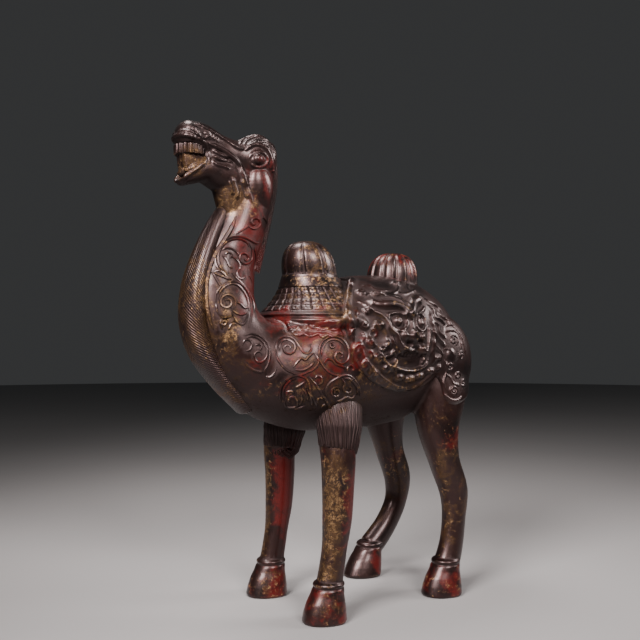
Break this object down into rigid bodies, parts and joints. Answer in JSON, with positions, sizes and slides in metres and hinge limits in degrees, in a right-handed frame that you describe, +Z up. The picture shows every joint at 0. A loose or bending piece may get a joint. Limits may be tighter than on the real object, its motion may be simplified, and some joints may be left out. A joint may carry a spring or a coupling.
{
  "type": "gilt copper camel figurine",
  "caption": "Standing Bactrian camel figurine in patinated gilt copper, head raised and mouth open, with chased scrolls, a lattice saddle and a lion-mask saddle cloth.",
  "frame": {"origin": "middle of the figure's bounding box in plan, on the ground plane under the hooves", "axes": "+Z up, head towards -X, the figure's left side towards -Y"},
  "size_m": [0.281, 0.1306, 0.3842],
  "materials": {
    "gilt_copper": "dark oxblood and brown lacquer-like patina over gilt copper, glossy, worn through to dull gold on the high and rubbed places, near black in the chased lines"
  },
  "bodies": {
    "root": {"camel": "gilt_copper"}
  },
  "joints": []
}
